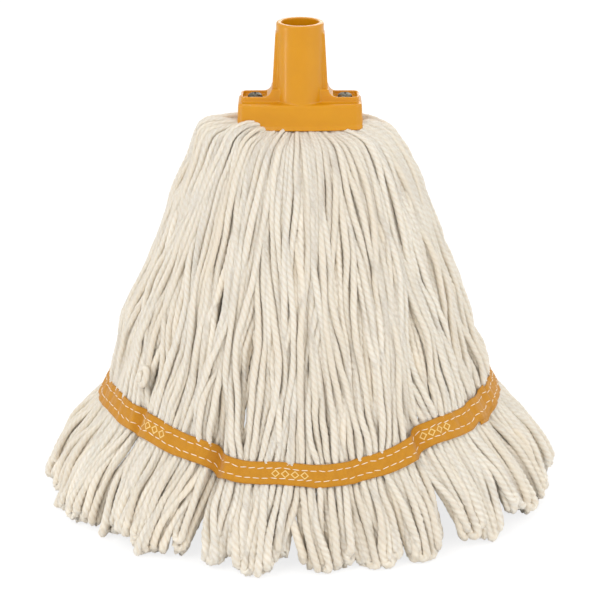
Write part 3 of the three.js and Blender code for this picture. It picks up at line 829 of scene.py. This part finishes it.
class Paint:
    # A material whose nodes are made one by one.
    def __init__(self, name):
        self.material = bpy.data.materials.new(name)
        self.material.use_nodes = True
        self.tree = self.material.node_tree
        self.tree.nodes.clear()

    def node(self, kind, settings=None, inputs=None, output=0):
        # inputs are values or wires by the socket's name or number
        made = self.tree.nodes.new("ShaderNode" + kind)
        for key, value in (settings or {}).items():
            setattr(made, key, value)
        for key, value in (inputs or {}).items():
            if isinstance(value, Wire):
                self.tree.links.new(value.socket, made.inputs[key])
            else:
                made.inputs[key].default_value = value
        return Wire(self, made.outputs[output]) if len(made.outputs) else None

    def blendColour(self, share, first, second):
        return self.node("Mix", {"data_type": "RGBA"}, {0: share, 6: first, 7: second}, 2)

    def noise(self, vector, scale, detail=2.0, roughness=0.5):
        return self.node("TexNoise", {}, {"Vector": vector, "Scale": scale, "Detail": detail,
                                          "Roughness": roughness})

    def objectPlace(self):
        return self.node("TexCoord", {}, {}, "Object")

    def attribute(self, name, output="Fac"):
        return self.node("Attribute", {"attribute_name": name}, {}, output)

    def parts(self, vector):
        split = self.node("SeparateXYZ", {}, {0: vector})
        return [Wire(self, split.socket.node.outputs[k]) for k in range(3)]

    def wave(self, value, length):
        return value.math("SINE", value * (fullTurn / length))

    def range(self, value, low, high, newLow=0.0, newHigh=1.0):
        return self.node("MapRange", {}, {"Value": value, "From Min": low, "From Max": high,
                                          "To Min": newLow, "To Max": newHigh})

    def bump(self, height, strength, distance):
        return self.node("Bump", {}, {"Height": height, "Strength": strength, "Distance": distance})

    def surface(self, **inputs):
        named = {key.replace("_", " "): value for key, value in inputs.items()}
        shader = self.node("BsdfPrincipled", {}, named)
        self.node("OutputMaterial", {}, {"Surface": shader})
        return self.material


def linear(red, green, blue):
    # a colour written as a screen shows it, from 0 to 255, as the shader wants it
    share = np.array([red, green, blue]) / 255
    value = np.where(share <= 0.04045, share / 12.92, ((share + 0.055) / 1.055) ** 2.4)
    return (*(float(v) for v in value), 1.0)


def yarnPaint():
    # Cream cotton: each strand has its own tint, the grooves between plies are painted darker and warmer
    # as painted shade, and fine fibres run along the plies.
    paint = Paint("twistedCotton")
    fibre = paint.attribute("fibre", "Vector")
    ridge = paint.attribute("ridge")
    tint = paint.attribute("tint")
    streaks = paint.noise(fibre, 5.5, 3.0, 0.6)
    fuzz = paint.noise(paint.objectPlace(), 1100.0, 3.0, 0.65)
    patches = paint.noise(paint.objectPlace(), 28.0, 2.0)
    warm = paint.blendColour(paint.range(tint * 0.5 + patches * 0.6, 0.25, 0.85),
                             linear(248, 241, 228), linear(241, 230, 212))
    # painted shade: grooves between plies (low ridge) take the darker, warmer colour, mixed with streaks
    plyGrooveShade = paint.blendColour(paint.range(ridge * 0.7 + streaks * 0.6, 0.1, 0.9),
                             linear(233, 219, 197), warm)
    height = streaks * 0.5 + fuzz * 0.5
    return paint.surface(Base_Color=plyGrooveShade, Roughness=0.95, Sheen_Weight=0.15, Sheen_Roughness=0.6,
                         Specular_IOR_Level=0.12, Subsurface_Weight=0.25,
                         Subsurface_Radius=(0.003, 0.0028, 0.0025), Subsurface_Scale=1.0,
                         Normal=paint.bump(height, 0.6, 0.0007))


def plasticPaint():
    # Moulded yellow plastic: satin, with a faint grain, soft flow marks and rubbed places.
    paint = Paint("mouldedYellow")
    place = paint.objectPlace()
    grain = paint.noise(place, 1800.0, 2.0)
    flow = paint.noise(place, 34.0, 3.0, 0.6)
    rubbed = paint.range(paint.noise(place, 210.0, 4.0, 0.7), 0.52, 0.7)
    colour = paint.blendColour(paint.range(flow, 0.3, 0.7), linear(214, 147, 4), linear(206, 139, 3))
    return paint.surface(Base_Color=colour, Roughness=0.27 + rubbed * 0.12 + flow * 0.06,
                         Specular_IOR_Level=0.36, Coat_Weight=0.15, Coat_Roughness=0.1,
                         Subsurface_Weight=0.12, Subsurface_Radius=(0.004, 0.002, 0.0006),
                         Subsurface_Scale=1.0, Normal=paint.bump(grain * 0.5 + flow * 0.6, 0.25, 0.0003))


clothPitch = {"warp": 1.1 * mm, "weft": 0.9 * mm}  # from one rib or pick to the next
lozenges = {
    "every": 118 * mm,  # from one group of lozenges to the next
    "begin": 1.5 * mm,
    "end": 28.5 * mm,
    "pitch": 6.8 * mm,
    "halfLength": 3.1 * mm,
    "halfHeight": 3.2 * mm,
    "hollow": 0.66,  # the share of a lozenge that is open ground
}


def tapePaint():
    # Woven tape: warp ribs run along it, weft picks cross them, and hollow lozenges are woven in with
    # cream yarn, in groups at even distances.
    paint = Paint("wovenTape")
    along, across, _ = paint.parts(paint.attribute("weave", "Vector"))
    cloth = paint.wave(across, clothPitch["warp"]) * paint.wave(along, clothPitch["weft"])
    cell = along % lozenges["every"]
    inside = (cell < lozenges["end"]) * (cell > lozenges["begin"])
    middle = (cell - lozenges["begin"]) % lozenges["pitch"] - lozenges["pitch"] / 2
    diamond = abs(middle) / lozenges["halfLength"] + abs(across) / lozenges["halfHeight"]
    ring = (diamond < 1.0) * (diamond > lozenges["hollow"]) * inside
    dust = paint.noise(paint.attribute("weave", "Vector"), 260.0, 3.0, 0.6)
    ground = paint.blendColour(paint.range(cloth + dust * 1.6, -0.6, 1.8),
                               linear(178, 114, 18), linear(216, 152, 40))
    colour = paint.blendColour(ring * 0.8, ground, linear(250, 222, 150))
    return paint.surface(Base_Color=colour, Roughness=0.78, Sheen_Weight=0.2, Specular_IOR_Level=0.25,
                         Normal=paint.bump(cloth * 0.5 + ring * 0.6 + dust * 0.3, 0.5, 0.0004))


def threadPaint():
    # Off-white sewing thread with a fine grain.
    paint = Paint("sewingThread")
    twist = paint.noise(paint.objectPlace(), 1500.0, 2.0)
    colour = paint.blendColour(twist, linear(240, 226, 196), linear(252, 246, 232))
    return paint.surface(Base_Color=colour, Roughness=0.7, Normal=paint.bump(twist, 0.4, 0.0002))


def steelPaint():
    # Zinc darkened all over as painted shade for the heads in their pockets, with dark stains on a
    # brighter, rubbed ground, and fine marks.
    paint = Paint("zincDarkForShade")
    place = paint.objectPlace()
    stain = paint.noise(place, 420.0, 4.0, 0.65)
    marks = paint.noise(place, 2600.0, 2.0)
    # painted shade: both colours are darker than zinc is, for the shaded pockets; the stain noise is
    # uneven tone
    colour = paint.blendColour(paint.range(stain, 0.35, 0.65),
                               linear(70, 66, 56), linear(132, 127, 113))
    return paint.surface(Base_Color=colour, Metallic=1.0, Roughness=0.3 + stain * 0.25,
                         Normal=paint.bump(marks * 0.5 + stain, 0.3, 0.0002))


def barPaint():
    # The hidden bar's plain grey plastic.
    paint = Paint("greyPlastic")
    grain = paint.noise(paint.objectPlace(), 1200.0, 2.0)
    colour = paint.blendColour(grain, linear(78, 79, 82), linear(92, 93, 97))
    return paint.surface(Base_Color=colour, Roughness=0.55, Normal=paint.bump(grain, 0.3, 0.0002))


# ---- build ----
yarnMaterial = yarnPaint()
tapeMaterial = tapePaint()
threadMaterial = threadPaint()
steelMaterial = steelPaint()
plasticMaterial = plasticPaint()
addYarn(yarnMaterial)
addTape("tail_tape", 1, "tail_tape_outer", tapeMaterial)
addTape("tail_tape_lining", -1, "tail_tape_inner", tapeMaterial)
rowHeight = 1 - 2 * stitch["inset"] / tapeWidth
stitchCount = 0
for name, side, across, replaced in (
    ("upper_needle_stitches", 1, rowHeight, "upper_needle_thread"),
    ("lower_needle_stitches", 1, -rowHeight, "lower_needle_thread"),
    ("upper_bobbin_stitches", -1, rowHeight, "upper_bobbin_thread"),
    ("lower_bobbin_stitches", -1, -rowHeight, "lower_bobbin_thread"),
):
    stitchCount += addStitches(name, side, across, replaced, threadMaterial)
print("stitches:", stitchCount)
rounded("socket_cap", "cap", capFinish, plasticMaterial)
for node in ("bolt_left", "bolt_right"):
    rounded(node, node.replace("bolt", "dome_bolt"), boltFinish, steelMaterial)
for node, material in (("nut_left", steelMaterial), ("nut_right", steelMaterial),
                       ("clamp_bar", barPaint()), ("centre_tape", tapeMaterial)):
    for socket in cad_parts[node].material_slots:
        socket.material = material

# ---- floor and light ----
studio = {
    "floor": 8.0,  # half width
    "shadowShare": 0.3,  # of the lit floor in what the camera sees of it
    "white": 1.15,  # strength of the floor's own light towards the camera
    "world": 0.82,
}
lamps = {
    "key": {"place": (-0.9, -1.1, 1.5), "target": (0, 0, 0.17), "size": 0.9, "power": 9.0},
    "fill": {"place": (1.3, -0.9, 0.8), "target": (0, 0, 0.17), "size": 1.2, "power": 5.8},
    "back": {"place": (0.4, 1.4, 1.1), "target": (0, 0, 0.17), "size": 1.2, "power": 8.0},
    "strip": {"place": (-1.1, -0.36, 0.14), "target": (0, 0, 0.3), "size": 0.07, "height": 0.5,
              "power": 1.3},
}


def studioFloor():
    # A wide pale floor. For the camera it is part white light and part lit surface, so that the
    # background is white and a soft shadow still shows.
    mesh = bpy.data.meshes.new("floor")
    reach = studio["floor"]
    corners = [(-reach, -reach, 0), (reach, -reach, 0), (reach, reach, 0), (-reach, reach, 0)]
    mesh.from_pydata(corners, [], [(0, 1, 2, 3)])
    floor = bpy.data.objects.new("floor", mesh)
    bpy.context.scene.collection.objects.link(floor)
    paint = Paint("paleFloor")
    light = paint.node("LightPath", {}, {}, "Is Camera Ray")
    lit = paint.node("BsdfDiffuse", {}, {"Color": (0.9, 0.9, 0.9, 1)})
    white = paint.node("Emission", {}, {"Color": (1, 1, 1, 1), "Strength": studio["white"]})
    both = paint.node("MixShader", {}, {0: light * (1 - studio["shadowShare"]), 1: lit, 2: white})
    paint.node("OutputMaterial", {}, {"Surface": both})
    mesh.materials.append(paint.material)


def studioWorld():
    # An even world that is full white where the camera or a gloss sees it, and dimmer as a light.
    world = bpy.data.worlds.new("studio")
    bpy.context.scene.world = world
    world.use_nodes = True
    nodes, links = world.node_tree.nodes, world.node_tree.links
    back = nodes["Background"]
    back.inputs["Color"].default_value = (1, 1, 1, 1)
    path = nodes.new("ShaderNodeLightPath")
    seen = nodes.new("ShaderNodeMath")
    seen.operation = "MAXIMUM"
    links.new(path.outputs["Is Camera Ray"], seen.inputs[0])
    links.new(path.outputs["Is Glossy Ray"], seen.inputs[1])
    level = nodes.new("ShaderNodeMapRange")
    level.inputs["To Min"].default_value = studio["world"]
    level.inputs["To Max"].default_value = 1.0
    links.new(seen.outputs[0], level.inputs["Value"])
    links.new(level.outputs[0], back.inputs["Strength"])


def addLamp(name, place, target, size, power, height=None):
    # a square or upright oblong lamp, turned towards its target
    lamp = bpy.data.objects.new(name, bpy.data.lights.new(name, "AREA"))
    lamp.data.size, lamp.data.energy = size, power
    if height:
        lamp.data.shape, lamp.data.size_y = "RECTANGLE", height
    lamp.location = place
    back = np.array(place) - np.array(target)
    lamp.rotation_euler = (math.atan2(math.hypot(back[0], back[1]), back[2]), 0,
                           math.atan2(back[0], -back[1]))
    bpy.context.scene.collection.objects.link(lamp)


studioFloor()
studioWorld()
for name, settings in lamps.items():
    addLamp(name, **settings)
print("studio:", len(lamps), "lamps over a white floor")
bpy.context.scene.view_settings.view_transform = "Standard"
